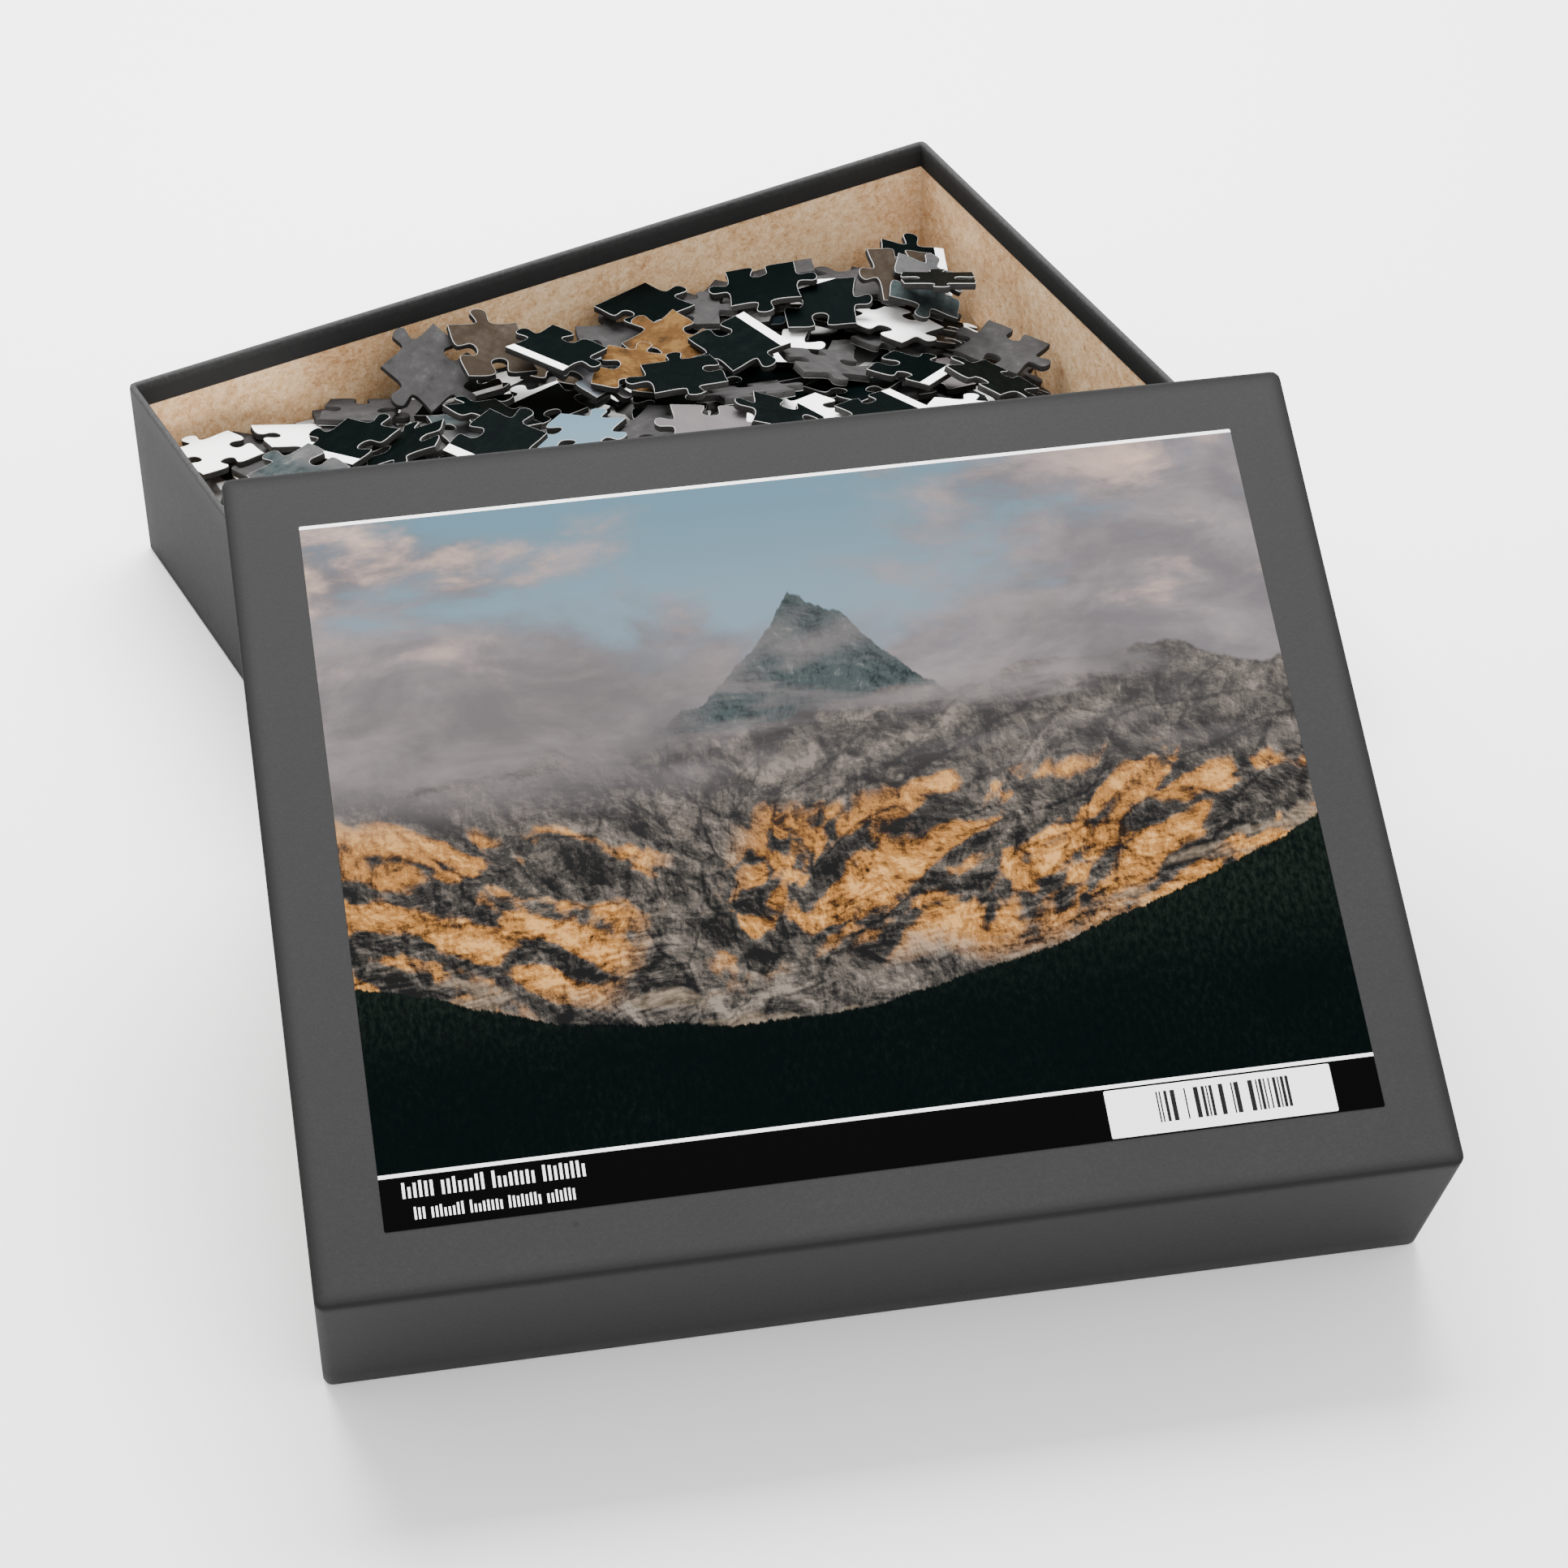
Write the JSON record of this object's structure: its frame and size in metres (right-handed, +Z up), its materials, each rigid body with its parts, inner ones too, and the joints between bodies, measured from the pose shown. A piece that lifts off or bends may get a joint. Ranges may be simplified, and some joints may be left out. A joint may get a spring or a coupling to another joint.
{
  "type": "boxed jigsaw puzzle",
  "caption": "Open rigid puzzle box heaped with loose interlocking jigsaw pieces, its lift-off lid with a landscape label leaning on the heap.",
  "frame": {"origin": "centre of the flat underside of the tray", "axes": "+X along the tray's long side, +Y along its short side away from the leaning lid, +Z up"},
  "size_m": [0.3432, 0.4141, 0.1341],
  "materials": {
    "wrap_paper": "matte, faintly fibrous dark grey wrap paper",
    "kraft_board": "bare kraft chipboard, matte, long fibres",
    "corner_tape": "gummed kraft paper tape",
    "picture_label": null,
    "white_sticker": null,
    "piece_mix": "mixed faces and backs of cut puzzle board",
    "print_forest": "satin print, nearly black forest",
    "piece_back": "matte grey puzzle back",
    "print_white": "satin white print",
    "print_sky": "satin print, blue grey sky",
    "print_cloud": "satin print, pinkish cloud",
    "print_rock": "satin print, brown rock",
    "print_sunlit": "satin print, sunlit orange rock",
    "print_teal": "satin print, dark teal slope"
  },
  "bodies": {
    "tray": {"tray_board": "kraft_board", "tray_corner_tape_back_right": "corner_tape", "tray_corner_tape_back_left": "corner_tape", "tray_corner_tape_front_left": "corner_tape", "tray_corner_tape_front_right": "corner_tape", "tray_wrap": "wrap_paper", "loose_piece_heap": "piece_mix", "piece_white_far_low": "print_white", "piece_white_mid": "print_white", "piece_white_front": "print_white", "piece_white_right": "print_white", "piece_white_centre": "print_white", "piece_back_far_right": "piece_back", "piece_back_far_middle": "piece_back", "piece_back_far_knob": "piece_back", "piece_back_upper_left": "piece_back", "piece_back_low_front": "piece_back", "piece_back_low_middle": "piece_back", "piece_back_leaning_far": "piece_back", "piece_rock_brown": "print_rock", "piece_sky_upper": "print_sky", "piece_back_knob_far": "piece_back", "piece_back_centre": "piece_back", "piece_border_far_edge": "print_forest", "piece_rock_sunlit": "print_sunlit", "piece_rock_sunlit_low": "print_sunlit", "piece_border_right_far": "print_forest", "piece_rock_olive": "print_rock", "piece_back_right_wall": "piece_back", "piece_forest_left_mid": "print_forest", "piece_forest_left": "print_forest"},
    "lid": {"lid_board": "kraft_board", "lid_corner_tape_front_right": "corner_tape", "lid_corner_tape_front_left": "corner_tape", "lid_corner_tape_back_left": "corner_tape", "lid_corner_tape_back_right": "corner_tape", "lid_wrap": "wrap_paper", "lid_label": "picture_label", "lid_code_sticker": "white_sticker"},
    "piece_border_front": {"piece_border_front": "print_forest"},
    "piece_border_left_low": {"piece_border_left_low": "print_forest"},
    "piece_teal_left": {"piece_teal_left": "print_teal"},
    "piece_border_left_corner": {"piece_border_left_corner": "print_forest"},
    "piece_sky_large": {"piece_sky_large": "print_sky"},
    "piece_border_left_mid": {"piece_border_left_mid": "print_forest"},
    "piece_border_left_upper": {"piece_border_left_upper": "print_forest"},
    "piece_border_middle": {"piece_border_middle": "print_forest"},
    "piece_forest_long": {"piece_forest_long": "print_forest"},
    "piece_forest_far": {"piece_forest_far": "print_forest"},
    "piece_cloud_pink": {"piece_cloud_pink": "print_cloud"},
    "piece_forest_front": {"piece_forest_front": "print_forest"},
    "piece_forest_middle": {"piece_forest_middle": "print_forest"},
    "piece_border_diagonal": {"piece_border_diagonal": "print_forest"},
    "piece_forest_right": {"piece_forest_right": "print_forest"},
    "piece_forest_teal": {"piece_forest_teal": "print_teal"},
    "piece_forest_steep": {"piece_forest_steep": "print_forest"},
    "piece_ridge_left": {"piece_ridge_left": "piece_back"},
    "piece_ridge_middle": {"piece_ridge_middle": "print_forest"},
    "piece_ridge_right": {"piece_ridge_right": "print_white"}
  },
  "joints": [
    {"name": "lid_lift", "type": "slide", "parent": "tray", "child": "lid", "axis": [0, 0, 1], "range_m": [0, 0.15]},
    {"name": "border_front_lift", "type": "slide", "parent": "tray", "child": "piece_border_front", "axis": [0, 0, 1], "range_m": [0, 0.09]},
    {"name": "border_left_low_lift", "type": "slide", "parent": "tray", "child": "piece_border_left_low", "axis": [0, 0, 1], "range_m": [0, 0.09]},
    {"name": "teal_left_lift", "type": "slide", "parent": "piece_border_left_low", "child": "piece_teal_left", "axis": [0, 0, 1], "range_m": [0, 0.09]},
    {"name": "border_left_corner_lift", "type": "slide", "parent": "piece_teal_left", "child": "piece_border_left_corner", "axis": [0, 0, 1], "range_m": [0, 0.09]},
    {"name": "sky_large_lift", "type": "slide", "parent": "tray", "child": "piece_sky_large", "axis": [0, 0, 1], "range_m": [0, 0.09]},
    {"name": "border_left_mid_lift", "type": "slide", "parent": "piece_sky_large", "child": "piece_border_left_mid", "axis": [0, 0, 1], "range_m": [0, 0.09]},
    {"name": "border_left_upper_lift", "type": "slide", "parent": "tray", "child": "piece_border_left_upper", "axis": [0, 0, 1], "range_m": [0, 0.09]},
    {"name": "border_middle_lift", "type": "slide", "parent": "tray", "child": "piece_border_middle", "axis": [0, 0, 1], "range_m": [0, 0.09]},
    {"name": "forest_long_lift", "type": "slide", "parent": "tray", "child": "piece_forest_long", "axis": [0, 0, 1], "range_m": [0, 0.09]},
    {"name": "forest_far_lift", "type": "slide", "parent": "piece_forest_long", "child": "piece_forest_far", "axis": [0, 0, 1], "range_m": [0, 0.09]},
    {"name": "cloud_pink_lift", "type": "slide", "parent": "tray", "child": "piece_cloud_pink", "axis": [0, 0, 1], "range_m": [0, 0.09]},
    {"name": "forest_front_lift", "type": "slide", "parent": "piece_cloud_pink", "child": "piece_forest_front", "axis": [0, 0, 1], "range_m": [0, 0.09]},
    {"name": "forest_middle_lift", "type": "slide", "parent": "tray", "child": "piece_forest_middle", "axis": [0, 0, 1], "range_m": [0, 0.09]},
    {"name": "border_diagonal_lift", "type": "slide", "parent": "tray", "child": "piece_border_diagonal", "axis": [0, 0, 1], "range_m": [0, 0.09]},
    {"name": "forest_right_lift", "type": "slide", "parent": "piece_border_diagonal", "child": "piece_forest_right", "axis": [0, 0, 1], "range_m": [0, 0.09]},
    {"name": "forest_teal_lift", "type": "slide", "parent": "tray", "child": "piece_forest_teal", "axis": [0, 0, 1], "range_m": [0, 0.09]},
    {"name": "forest_steep_lift", "type": "slide", "parent": "piece_forest_teal", "child": "piece_forest_steep", "axis": [0, 0, 1], "range_m": [0, 0.09]},
    {"name": "ridge_left_lift", "type": "slide", "parent": "tray", "child": "piece_ridge_left", "axis": [0, 0, 1], "range_m": [0, 0.09]},
    {"name": "ridge_middle_lift", "type": "slide", "parent": "tray", "child": "piece_ridge_middle", "axis": [0, 0, 1], "range_m": [0, 0.09]},
    {"name": "ridge_right_lift", "type": "slide", "parent": "tray", "child": "piece_ridge_right", "axis": [0, 0, 1], "range_m": [0, 0.09]}
  ]
}
